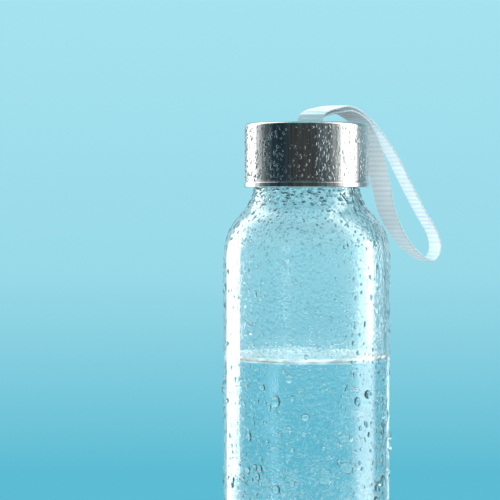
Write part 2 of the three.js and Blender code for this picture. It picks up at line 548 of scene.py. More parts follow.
@dataclass(frozen=True)
class BrushedSteel:
    """Bright stainless steel, brushed upright on the cap's side and in rings on its top."""

    name: str = "brushed_steel"
    bright: Colour = (0.82, 0.82, 0.81)
    dull: Colour = (0.40, 0.385, 0.375)
    streaks: float = 900
    scratch_depth: float = 0.05 * MM

    def build(self) -> bpy.types.Material:
        """Make the material.

        Returns:
            The finish.
        """
        graph = Graph.of_material(self.name)
        grain = self._grain(graph)
        fine = graph.noise(grain, self.streaks * 2, 4)
        broad = graph.noise(grain, self.streaks / 3)
        smudge = graph.noise(graph.place(), 60).smooth(0.45, 0.75)
        lines = fine.smooth(0.36, 0.64) * 0.55 + broad.smooth(0.38, 0.62) * 0.45
        return graph.finish({
            "Base Color": graph.mix(lines, self.dull, self.bright),
            "Metallic": 1.0,
            "Roughness": fine * 0.08 + smudge * 0.03 + 0.13,
            "Normal": graph.bump(fine + broad, 0.35, self.scratch_depth),
        })

    @staticmethod
    def _grain(graph: Graph) -> bpy.types.NodeSocket:
        """Give coordinates that run upright on the side and in rings on the top.

        Args:
            graph: the steel's nodes.

        Returns:
            The coordinates.
        """
        right, back, _ = graph.axes()
        reach = (right * right + back * back) ** 0.5
        rings = graph.add("ShaderNodeCombineXYZ", inputs={0: reach}).outputs[0]
        _, _, upwards = graph.axes(graph.add("ShaderNodeTexCoord").outputs["Normal"])
        inputs = {0: upwards.smooth(0.5, 0.9), 4: graph.place((1, 1, 0.03)), 5: rings}
        return graph.add("ShaderNodeMix", {"data_type": "VECTOR"}, inputs).outputs[1]


@dataclass(frozen=True)
class ClearLiner:
    """Clear, slightly green moulded plastic."""

    tint: Colour = (0.80, 0.87, 0.82)
    ripple_depth: float = 0.2 * MM

    def build(self) -> bpy.types.Material:
        """Make the material.

        Returns:
            The finish.
        """
        graph = Graph.of_material("liner_plastic")
        flow = graph.noise(graph.place((1, 1, 6)), 120)
        return graph.finish({
            "Base Color": (*self.tint, 1),
            "Roughness": flow * 0.12 + 0.08,
            "IOR": 1.49,
            "Transmission Weight": 0.55,
            "Normal": graph.bump(flow, 0.15, self.ripple_depth),
        })


@dataclass(frozen=True)
class SoftSeal:
    """Milky silicone rubber."""

    colour: Colour = (0.78, 0.80, 0.78)
    grain_depth: float = 0.1 * MM

    def build(self) -> bpy.types.Material:
        """Make the material.

        Returns:
            The finish.
        """
        graph = Graph.of_material("soft_seal")
        grain = graph.noise(graph.place(), 900)
        return graph.finish({
            "Base Color": graph.mix(grain, darker(self.colour, 0.85), self.colour),
            "Roughness": 0.55,
            "Subsurface Weight": 0.2,
            "Subsurface Scale": 2 * MM,
            "Normal": graph.bump(grain, 0.2, self.grain_depth),
        })


@dataclass(frozen=True)
class WovenNylon:
    """White ribbed ribbon, with painted shade in the grooves between its ribs. U runs round the
    ribbon's section and V counts its ribs.
    """

    white: Colour = (0.865, 0.88, 0.885)
    # the darker colour: painted shade in the grooves, with the weave's pattern, fuzz and soil
    shade_and_soil: Colour = (0.60, 0.65, 0.68)
    threads_across: float = 46
    picks_per_rib: float = 5
    thread_depth: float = 0.08 * MM

    def build(self) -> bpy.types.Material:
        """Make the material.

        Returns:
            The finish.
        """
        graph = Graph.of_material("woven_nylon")
        uv = graph.add("ShaderNodeUVMap", {"uv_map": "ribbon"}).outputs[0]
        across, along, _ = graph.axes(uv)
        warp = (across * (self.threads_across * FULL_TURN)).sine()
        weft = (along * (self.picks_per_rib * FULL_TURN)).sine()
        weave = warp * weft * 0.5 + 0.5
        # painted shade: darker in the grooves between the ribs
        groove = 0.5 - (along * FULL_TURN + math.pi / 2).sine() * 0.5
        fuzz = graph.noise(graph.place(), 1800)
        soil = graph.noise(graph.place(), 90, 2).smooth(0.4, 0.8)
        shade_and_soil_share = groove * groove * 0.45 + weave * 0.22 + fuzz * 0.2 + soil * 0.1
        return graph.finish({
            "Base Color": graph.mix(shade_and_soil_share, self.white, self.shade_and_soil),
            "Roughness": 0.62,
            "Sheen Weight": 0.35,
            "Sheen Roughness": 0.4,
            "Subsurface Weight": 0.25,
            "Subsurface Scale": 1.2 * MM,
            "Normal": graph.bump(weave + fuzz * 0.6, 0.5, self.thread_depth),
        })


@dataclass(frozen=True)
class PlainPaint:
    """A plain matt surface for the studio's floor."""

    name: str
    colour: Colour

    def build(self) -> bpy.types.Material:
        """Make the material.

        Returns:
            The finish.
        """
        graph = Graph.of_material(self.name)
        mottle = graph.noise(graph.place(), 3, 2)
        colour = graph.mix(mottle, darker(self.colour, 0.96), self.colour)
        return graph.finish({"Base Color": colour, "Roughness": 0.9})


# ---- Mesh helpers ----------------------------------------------------------


def arc(
    centre: tuple[float, float],
    radius: float,
    start: float,
    end: float,
    steps: int = BEND_STEPS,
) -> Outline:
    """Give points on an arc of an outline.

    Args:
        centre: the arc's centre, as distance from the axis and height.
        radius: its radius.
        start: the first angle in degrees, 0 outwards and 90 up.
        end: the last angle.
        steps: how many chords it has.

    Returns:
        The points, both ends included.
    """
    points = []
    for index in range(steps + 1):
        angle = math.radians(start + (end - start) * index / steps)
        points.append((centre[0] + radius * math.cos(angle), centre[1] + radius * math.sin(angle)))
    return points


def spin_outline(
    outline: Outline,
    closed: bool = False,
    steps: int = ROUND_STEPS,
) -> bmesh.types.BMesh:
    """Spin an outline round the Z axis into a closed surface.

    Args:
        outline: points as distance from the axis and height.
        closed: True where the outline's end joins its start.
        steps: how many segments go round.

    Returns:
        The surface.
    """
    shape = bmesh.new()
    verts = [shape.verts.new((radius, 0, height)) for radius, height in outline]
    pairs = list(zip(verts, verts[1:]))
    if closed:
        pairs.append((verts[-1], verts[0]))
    edges = [shape.edges.new(pair) for pair in pairs]
    bmesh.ops.spin(
        shape,
        geom=verts + edges,
        cent=(0, 0, 0),
        axis=(0, 0, 1),
        angle=FULL_TURN,
        steps=steps,
        use_merge=True,
    )
    bmesh.ops.remove_doubles(shape, verts=shape.verts, dist=MERGE)
    bmesh.ops.dissolve_degenerate(shape, edges=shape.edges, dist=MERGE / 10)
    bmesh.ops.recalc_face_normals(shape, faces=shape.faces)
    return shape


def smooth_shade(mesh: bpy.types.Mesh, sharp: float) -> None:
    """Shade a mesh smooth but for the edges that turn by more than this many degrees."""
    mesh.shade_smooth()
    mesh.set_sharp_from_angle(angle=math.radians(sharp))


def make_piece(
    name: str,
    shape: bmesh.types.BMesh,
    material: bpy.types.Material,
    sharp: float = SHARP,
) -> bpy.types.Object:
    """Turn a bmesh into a smooth-shaded object at the origin.

    Args:
        name: the piece's name.
        shape: its geometry, which is freed.
        material: its finish.
        sharp: edges that turn by more degrees than this stay sharp.

    Returns:
        The new object.
    """
    mesh = bpy.data.meshes.new(name)
    shape.to_mesh(mesh)
    shape.free()
    smooth_shade(mesh, sharp)
    mesh.materials.append(material)
    piece = bpy.data.objects.new(name, mesh)
    bpy.context.scene.collection.objects.link(piece)
    return piece


def combine(piece: bpy.types.Object, tool: bmesh.types.BMesh, operation: Cut) -> None:
    """Join or cut a piece with another closed shape.

    Args:
        piece: the object to change.
        tool: the other shape, which is freed.
        operation: whether the shape is added or taken away.
    """
    helper = make_piece("helper", tool, piece.data.materials[0])
    modifier = piece.modifiers.new("boolean", "BOOLEAN")
    modifier.operation = operation.value
    modifier.solver = "EXACT"
    modifier.object = helper
    evaluated = piece.evaluated_get(bpy.context.evaluated_depsgraph_get())
    mesh = bpy.data.meshes.new_from_object(evaluated)
    piece.modifiers.clear()
    piece.data = mesh
    smooth_shade(mesh, SHARP)
    bpy.data.objects.remove(helper)


@dataclass(frozen=True)
class Ridge:
    """A thread ridge's section and how often it goes round."""

    foot_width: float
    crest_width: float
    turns: float


GLASS_RIDGE = Ridge(2 * MM, 1 * MM, 1.75)
LINER_RIDGE = Ridge(1.8 * MM, 0.9 * MM, 1.5)


@dataclass
class Thread:
    """A helical ridge on a round wall, running out into it at both ends."""

    wall: float
    crest: float
    start: float
    ridge: Ridge
    pitch: float = 5 * MM
    embed: float = 0.4 * MM
    run_out: float = 0.06
    steps_per_turn: int = 96

    def build(self) -> bmesh.types.BMesh:
        """Spin the ridge's section up a helix.

        Returns:
            The closed ridge.
        """
        outwards = math.copysign(1, self.crest - self.wall)
        foot = self.wall - outwards * self.embed
        sunk = self.wall - outwards * self.embed / 2
        shape = bmesh.new()
        section = [
            shape.verts.new((radius, 0, self.start + rise))
            for radius, rise in (
                (foot, -self.ridge.foot_width / 2),
                (foot, self.ridge.foot_width / 2),
                (self.crest, self.ridge.crest_width / 2),
                (self.crest, -self.ridge.crest_width / 2),
            )
        ]
        face = shape.faces.new(section)
        steps = round(self.ridge.turns * self.steps_per_turn)
        length = self.pitch * self.ridge.turns
        bmesh.ops.spin(
            shape,
            geom=[face, *face.edges, *face.verts],
            cent=(0, 0, 0),
            axis=(0, 0, 1),
            dvec=(0, 0, length / steps),
            angle=self.ridge.turns * FULL_TURN,
            steps=steps,
        )
        for vert in shape.verts:
            radius = math.hypot(vert.co.x, vert.co.y)
            if abs(radius - self.crest) > abs(radius - foot):
                continue
            along = min(max((vert.co.z - self.start) / length, 0), 1)
            grown = ease(min(along, 1 - along) / self.run_out)
            vert.co.xy *= (sunk + (self.crest - sunk) * grown) / radius
        bmesh.ops.remove_doubles(shape, verts=shape.verts, dist=MERGE)
        ends = [edge for edge in shape.edges if edge.is_boundary]
        bmesh.ops.holes_fill(shape, edges=ends, sides=4)
        bmesh.ops.recalc_face_normals(shape, faces=shape.faces)
        return shape


# ---- The bottle ------------------------------------------------------------


@dataclass
class GlassBottle:
    """The blown glass body, with its neck thread, and the water in it."""

    neck_radius: float = 20.5 * MM
    wall: float = 2 * MM
    base_thickness: float = 4 * MM
    heel_radius: float = 5 * MM
    shoulder_radius: float = 24 * MM
    throat_radius: float = 18.4 * MM
    throat_rise: float = 2 * MM
    thread_start: float = 1.8 * MM
    thread_depth: float = 1.2 * MM
    floor_steps: int = 8
    meniscus: float = 1.8 * MM
    wetting: float = 0.25 * MM
    body_radius: float = field(init=False)
    lip_z: float = field(init=False)
    throat_z: float = field(init=False)

    def __post_init__(self) -> None:
        """Take the overall sizes from the frame."""
        _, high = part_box("glass_bottle")
        rim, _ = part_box("cap_liner")
        self.body_radius = high[0]
        self.lip_z = high[2]
        self.throat_z = rim[2] + self.throat_rise

    def shoulder(self, offset: float) -> Outline:
        """Give the wall's outline from the shoulder's foot to the neck.

        Args:
            offset: how far inside the outer surface it lies.

        Returns:
            The outline, upwards.
        """
        reach = self.shoulder_radius + self.throat_radius
        bend = math.acos(1 - (self.body_radius - self.neck_radius) / reach)
        foot_z = self.throat_z - reach * math.sin(bend)
        degrees = math.degrees(bend)
        lower = (self.body_radius - self.shoulder_radius, foot_z)
        upper = (self.neck_radius + self.throat_radius, self.throat_z)
        return [
            *arc(lower, self.shoulder_radius - offset, 0, degrees),
            *arc(upper, self.throat_radius + offset, 180 + degrees, 180)[1:],
        ]

    def surface(self) -> Outline:
        """Give the outer surface's outline from the heel to the rim of the cap."""
        heel = (self.body_radius - self.heel_radius, self.heel_radius)
        return [*arc(heel, self.heel_radius, -90, 0), *self.shoulder(0)]

    def build_glass(self, material: bpy.types.Material) -> bpy.types.Object:
        """Make the glass body.

        Args:
            material: clear glass.

        Returns:
            The piece, in place of its CAD node.
        """
        lip = self.wall / 2
        inner_heel = self.heel_radius - self.wall
        floor = (self.body_radius - self.heel_radius, self.base_thickness + inner_heel)
        outline = [
            (0, 0),
            *self.surface(),
            *arc((self.neck_radius - lip, self.lip_z - lip), lip, 0, 180),
            *reversed(self.shoulder(self.wall)),
            *arc(floor, inner_heel, 0, -90, self.floor_steps),
            (0, self.base_thickness),
        ]
        shape = spin_outline(outline)
        piece = make_piece("bottle_glass", shape, material)
        thread = Thread(
            wall=self.neck_radius,
            crest=self.neck_radius + self.thread_depth,
            start=self.throat_z + self.thread_start,
            ridge=GLASS_RIDGE,
        )
        combine(piece, thread.build(), Cut.ADD)
        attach(piece, Body.BOTTLE.value)
        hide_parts("glass_bottle")
        return piece

    def build_water(self, material: bpy.types.Material) -> bpy.types.Object:
        """Make the water, which wets the inside of the glass and climbs it a little.

        Args:
            material: still water.

        Returns:
            The piece.
        """
        radius = self.body_radius - self.wall + self.wetting
        inner_heel = self.heel_radius - self.wall
        floor = (self.body_radius - self.heel_radius, self.base_thickness + inner_heel)
        climb = (radius - self.meniscus, WATER_LEVEL + self.meniscus)
        outline = [
            (0, self.base_thickness - self.wetting),
            *arc(floor, inner_heel + self.wetting, -90, 0, self.floor_steps),
            *arc(climb, self.meniscus, 0, -90, self.floor_steps),
            (0, WATER_LEVEL),
        ]
        shape = spin_outline(outline)
        piece = make_piece("water", shape, material, 60)
        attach(piece, Body.BOTTLE.value)
        return piece


# ---- The cap ---------------------------------------------------------------


@dataclass
class ScrewCap:
    """Steel shell, moulded liner, sealing ring and the pin that holds the strap."""

    shell_wall: float = 0.6 * MM
    shell_corner: float = 1.5 * MM
    liner_wall: float = 1.55 * MM
    liner_top: float = 1.6 * MM
    hem_height: float = 2.2 * MM
    hem_edge: float = 0.5 * MM
    hem_overhang: float = 0.5 * MM
    seam: float = 0.22 * MM
    liner_recess: float = 0.6 * MM
    liner_edge: float = 0.35 * MM
    ring_width: float = 3.5 * MM
    slot_length: float = 14.4 * MM
    slot_width: float = 3.4 * MM
    chamber_wall: float = 1.4 * MM
    chamber_depth: float = 4.4 * MM
    chamber_size: tuple[float, float] = (19 * MM, 5.4 * MM)
    radius: float = field(init=False)
    top: float = field(init=False)
    rim: float = field(init=False)
    hem_radius: float = field(init=False)

    def __post_init__(self) -> None:
        """Take the overall sizes from the frame."""
        low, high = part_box("cap_shell")
        self.top, self.rim, self.hem_radius = high[2], low[2], high[0]
        self.radius = self.hem_radius - self.hem_overhang

    @staticmethod
    def block(
        size: tuple[float, float],
        low: float,
        high: float,
        rounding: float,
    ) -> bmesh.types.BMesh:
        """Make an upright block on the axis with rounded upright edges.

        Args:
            size: its length along X and width along Y.
            low: its lowest point.
            high: its highest point.
            rounding: the radius of its upright edges.

        Returns:
            The closed block.
        """
        shape = bmesh.new()
        scale = Matrix.Diagonal((size[0], size[1], high - low, 1))
        middle = Matrix.Translation((0, 0, (low + high) / 2))
        bmesh.ops.create_cube(shape, size=1, matrix=middle @ scale)
        upright = [
            edge
            for edge in shape.edges
            if abs(edge.verts[0].co.z - edge.verts[1].co.z) > (high - low) / 2
        ]
        bmesh.ops.bevel(
            shape,
            geom=upright,
            offset=rounding,
            offset_type="OFFSET",
            affect="EDGES",
            segments=8,
            profile=0.5,
            material=-1,
        )
        return shape

    def build_shell(self, material: bpy.types.Material) -> bpy.types.Object:
        """Make the drawn steel shell with its slot and its rolled hem.

        Args:
            material: brushed steel.

        Returns:
            The piece, in place of its CAD node.
        """
        ceiling = self.top - self.shell_wall
        bore = self.radius - self.shell_wall
        inner_corner = self.shell_corner - self.shell_wall
        hem = self.hem_radius - self.hem_edge
        hem_top = self.rim + self.hem_height
        corner = (self.radius - self.shell_corner, self.top - self.shell_corner)
        outline = [
            (0, ceiling),
            *arc((bore - inner_corner, ceiling - inner_corner), inner_corner, 90, 0, 6),
            *arc((bore + self.seam, self.rim + self.seam), self.seam, 180, 270, 4),
            *arc((hem, self.rim + self.hem_edge), self.hem_edge, -90, 0, 6),
            *arc((hem, hem_top - self.hem_edge), self.hem_edge, 0, 90, 6),
            (self.radius - self.seam, hem_top),
            (self.radius - self.seam, hem_top + self.seam),
            (self.radius, hem_top + 2 * self.seam),
            *arc(corner, self.shell_corner, 0, 90, 10),
            (0, self.top),
        ]
        shape = spin_outline(outline)
        piece = make_piece("cap_steel_shell", shape, material)
        slot = self.block(
            (self.slot_length, self.slot_width),
            ceiling - self.shell_wall,
            self.top + self.shell_wall,
            self.slot_width / 2 * 0.98,
        )
        combine(piece, slot, Cut.TAKE_AWAY)
        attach(piece, Body.CAP.value)
        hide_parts("cap_shell")
        return piece

    def build_liner(self, material: bpy.types.Material, bottle: GlassBottle) -> bpy.types.Object:
        """Make the moulded liner with its thread and pin chamber.

        Args:
            material: clear plastic.
            bottle: the bottle that it screws onto.

        Returns:
            The piece, in place of its CAD node.
        """
        outer = self.radius - self.shell_wall - GAP
        bore = outer - self.liner_wall
        top = self.top - self.shell_wall - GAP
        floor = self.top - self.shell_wall - self.chamber_depth
        ceiling = floor - self.liner_top
        edge = self.liner_edge
        foot = self.rim + self.liner_recess
        collar = bore - self.shell_corner
        outline = [
            (0, ceiling),
            (bore, ceiling),
            *arc((bore + edge, foot + edge), edge, 180, 270, 5),
            *arc((outer - edge, foot + edge), edge, -90, 0, 5),
            (outer, top - self.shell_corner),
            (outer - self.shell_corner, top),
            (collar, top),
            (collar, floor),
            (0, floor),
        ]
        shape = spin_outline(outline)
        piece = make_piece("cap_moulded_liner", shape, material)
        length, width = self.chamber_size
        walls = (length + 2 * self.chamber_wall, width + 2 * self.chamber_wall)
        outside = self.block(walls, floor - self.liner_top / 2, top, 0.6 * MM)
        inside = self.block(self.chamber_size, floor, self.top, 0.4 * MM)
        combine(piece, outside, Cut.ADD)
        combine(piece, inside, Cut.TAKE_AWAY)
        clearance = bore - bottle.neck_radius - bottle.thread_depth
        drop = (GLASS_RIDGE.foot_width + LINER_RIDGE.crest_width) / 2 + GAP
        thread = Thread(
            wall=bore,
            crest=bottle.neck_radius + clearance,
            start=bottle.throat_z + bottle.thread_start - drop,
            ridge=LINER_RIDGE,
        )
        combine(piece, thread.build(), Cut.ADD)
        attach(piece, Body.CAP.value)
        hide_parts("cap_liner")
        return piece

    def build_ring(self, material: bpy.types.Material) -> bpy.types.Object:
        """Make the sealing ring with rounded edges.

        Args:
            material: soft silicone.

        Returns:
            The piece, in place of its CAD node.
        """
        low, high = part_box("sealing_ring")
        outer = high[0]
        inner = outer - self.ring_width
        edge = (high[2] - low[2]) * 0.3
        outline = [
            *arc((outer - edge, low[2] + edge), edge, -90, 0, 5),
            *arc((outer - edge, high[2] - edge), edge, 0, 90, 5),
            *arc((inner + edge, high[2] - edge), edge, 90, 180, 5),
            *arc((inner + edge, low[2] + edge), edge, 180, 270, 5),
        ]
        shape = spin_outline(outline, closed=True, steps=96)
        piece = make_piece("seal_ring", shape, material)
        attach(piece, Body.SEAL.value)
        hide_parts("sealing_ring")
        return piece

    @staticmethod
    def dress_pin(material: bpy.types.Material) -> bpy.types.Object:
        """Give the CAD pin its steel.

        Args:
            material: brushed steel.

        Returns:
            The pin.
        """
        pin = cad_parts["strap_pin"]
        for slot in pin.material_slots:
            slot.material = material
        return pin


# ---- The strap -------------------------------------------------------------


@dataclass
class WovenStrap:
    """One ribbed ribbon, sewn round the pin and hanging in a loop over the cap's edge."""

    width: float = 10 * MM
    thickness: float = 0.9 * MM
    rib_pitch: float = 2.1 * MM
    rib_depth: float = 0.2 * MM
    wrap_radius: float = 1.75 * MM
    twist_out: float = 66
    twist_back: float = 42
    twist_share: float = 0.16
    section_steps: int = 28
    samples_per_rib: int = 7
    rough_samples: int = 600
    spline_steps: int = 24
    edge_squareness: float = 0.35
    root_lift: float = 1.3 * MM
    root_reach: float = 4 * MM
    hang: tuple[tuple[float, float, float], ...] = (
        (0, -0.6, 1.3),
        (0.3, -0.6, 2.7),
        (2.4, 0.6, 4.5),
        (6.4, 4, 5.8),
        (12, 9.5, 6.7),
        (21, 18.5, 3.4),
        (32.4, 28.5, -9.9),
        (38.4, 33.5, -20.5),
        (45.4, 38.5, -33.6),
        (52.3, 43, -45.7),
        (53.1, 43.7, -51.5),
        (50, 40.5, -56),
        (44.5, 35.5, -53.4),
        (38.5, 31, -47.7),
        (32, 26.5, -35.7),
        (29.3, 24.5, -24.2),
        (26.7, 22.5, -13.4),
        (20.7, 17, 0.1),
        (13, 9.5, 4.8),
        (7.6, 5, 4.4),
        (3.4, 2.4, 3.6),
        (0.4, 0.7, 2.3),
        (0, 0.6, 1.3),
    )
    middle_x: float = field(init=False)
    top: float = field(init=False)
    pin_z: float = field(init=False)

    def __post_init__(self) -> None:
        """Take the places of the slot and the pin from the frame."""
        tail_low, tail_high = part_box("strap_tail")
        pin_low, pin_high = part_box("strap_pin")
        _, shell_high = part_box("cap_shell")
        self.middle_x = (tail_low[0] + tail_high[0]) / 2
        self.pin_z = (pin_low[2] + pin_high[2]) / 2
        self.top = shell_high[2]

    def route(self) -> list[Vector]:
        """Give the ribbon's closed middle line: round the pin, out, and back.

        Returns:
            Its points.
        """
        pin = Vector((self.middle_x, 0, self.pin_z))
        slot = Vector((self.middle_x, 0, self.top))
        wrap = [
            pin + Vector((0, math.cos(angle), math.sin(angle))) * self.wrap_radius
            for angle in (math.radians(degrees) for degrees in (30, -15, -60, -120, -165, -210))
        ]
        return [*wrap, *(slot + Vector(point) * MM for point in self.hang)]

    def _spline(self, points: Sequence[Vector], count: int) -> list[Vector]:
        """Pass a closed smooth curve through points and sample it evenly.

        Args:
            points: the curve's own points.
            count: how many even samples to take.

        Returns:
            The samples.
        """
        fine = []
        total = len(points)
        for index in range(total):
            near = (points[(index + shift) % total] for shift in (-1, 0, 1, 2))
            before, first, second, after = near
            knots = [0.0]
            for left, right in ((before, first), (first, second), (second, after)):
                knots.append(knots[-1] + max((right - left).length, 1e-9) ** 0.5)
            for step in range(self.spline_steps):
                place = knots[1] + (knots[2] - knots[1]) * step / self.spline_steps
                lower = before.lerp(first, (place - knots[0]) / (knots[1] - knots[0]))
                centre = first.lerp(second, (place - knots[1]) / (knots[2] - knots[1]))
                upper = second.lerp(after, (place - knots[2]) / (knots[3] - knots[2]))
                left = lower.lerp(centre, (place - knots[0]) / (knots[2] - knots[0]))
                right = centre.lerp(upper, (place - knots[1]) / (knots[3] - knots[1]))
                fine.append(left.lerp(right, (place - knots[1]) / (knots[2] - knots[1])))
        lengths = [0.0]
        for left, right in zip(fine, [*fine[1:], fine[0]]):
            lengths.append(lengths[-1] + (right - left).length)
        samples = []
        index = 0
        for step in range(count):
            target = lengths[-1] * step / count
            while lengths[index + 1] < target:
                index += 1
            share = (target - lengths[index]) / (lengths[index + 1] - lengths[index])
            samples.append(fine[index].lerp(fine[(index + 1) % len(fine)], share))
        return samples

    def twist(self, along: float) -> float:
        """Give the width's turn about Z in radians at a share of the hanging loop.

        Args:
            along: the share of the loop, from 0 to 1.

        Returns:
            The turn.
        """
        if not 0 < along < 1:
            return 0.0
        near = ease(min(along, 1 - along) / self.twist_share)
        returning = ease((along - 0.5) / 0.25)
        widest = self.twist_out + (self.twist_back - self.twist_out) * returning
        return -math.radians(near * widest)

    def build(self, material: bpy.types.Material) -> bpy.types.Object:
        """Make the ribbon with its ribs and rounded edges.

        Args:
            material: woven nylon.

        Returns:
            The piece, in place of both strap nodes.
        """
        points = self.route()
        rough = self._spline(points, self.rough_samples)
        length = sum((b - a).length for a, b in zip(rough, [*rough[1:], rough[0]]))
        ribs = round(length / self.rib_pitch)
        count = ribs * self.samples_per_rib
        line = self._spline(points, count)
        outside = [
            index
            for index, point in enumerate(line)
            if point.z > self.top + self.root_lift or point.y > self.root_reach
        ]
        first, last = outside[0], outside[-1]
        shape = bmesh.new()
        shape.loops.layers.uv.new("ribbon")
        bmesh.ops.create_grid(
            shape,
            x_segments=self.section_steps,
            y_segments=count,
            size=0.5,
            calc_uvs=True,
        )
        for vert in shape.verts:
            step = round((vert.co.y + 0.5) * count) % count
            angle = (vert.co.x + 0.5) * FULL_TURN
            ahead = (line[(step + 1) % count] - line[step - 1]).normalized()
            turn = self.twist((step - first) / (last - first))
            across = Vector((math.cos(turn), math.sin(turn), 0))
            through = ahead.cross(across).normalized()
            rib = 0.5 + 0.5 * math.cos(FULL_TURN * step / self.samples_per_rib)
            sideways, depth = self._section(angle)
            flat = 1 - abs(sideways) ** 6
            height = depth * (self.thickness / 2 - self.rib_depth * (1 - rib) * flat)
            vert.co = line[step] + across * (sideways * self.width / 2) + through * height
        uv = shape.loops.layers.uv["ribbon"]
        for loop in (loop for face in shape.faces for loop in face.loops):
            loop[uv].uv.y *= ribs
        bmesh.ops.remove_doubles(shape, verts=shape.verts, dist=MERGE)
        bmesh.ops.recalc_face_normals(shape, faces=shape.faces)
        piece = make_piece("carrying_strap", shape, material, 60)
        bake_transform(piece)
        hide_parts("strap_loop", "strap_tail")
        return piece

    def _section(self, angle: float) -> tuple[float, float]:
        """Give a point on the ribbon's section, each way from -1 to 1, with round edges.

        Args:
            angle: the angle round the section, in radians.

        Returns:
            The place across and through the ribbon.
        """
        sideways, depth = math.cos(angle), math.sin(angle)
        return (
            math.copysign(abs(sideways) ** self.edge_squareness, sideways),
            math.copysign(abs(depth) ** self.edge_squareness, depth),
        )


# ---- Condensation ----------------------------------------------------------


@dataclass(frozen=True)
class Wetting:
    """One kind of droplet: its number, the heights that it sits between, and its sizes."""

    name: str
    count: int
    low: float
    high: float
    smallest: float
    largest: float
    stretch: float = 1.0  # how much longer than wide a droplet is on average
    skew: float = 3.0  # how much commoner the small ones are
    detail: int = 2  # 1 for fine mist and 2 for a rounder droplet
    sparse_from: float = 0  # the sparse part's first bearing, 0 at the front and 90 at the right
    sparse_to: float = 0  # its last bearing
    kept: float = 1  # the share of droplets that stay there


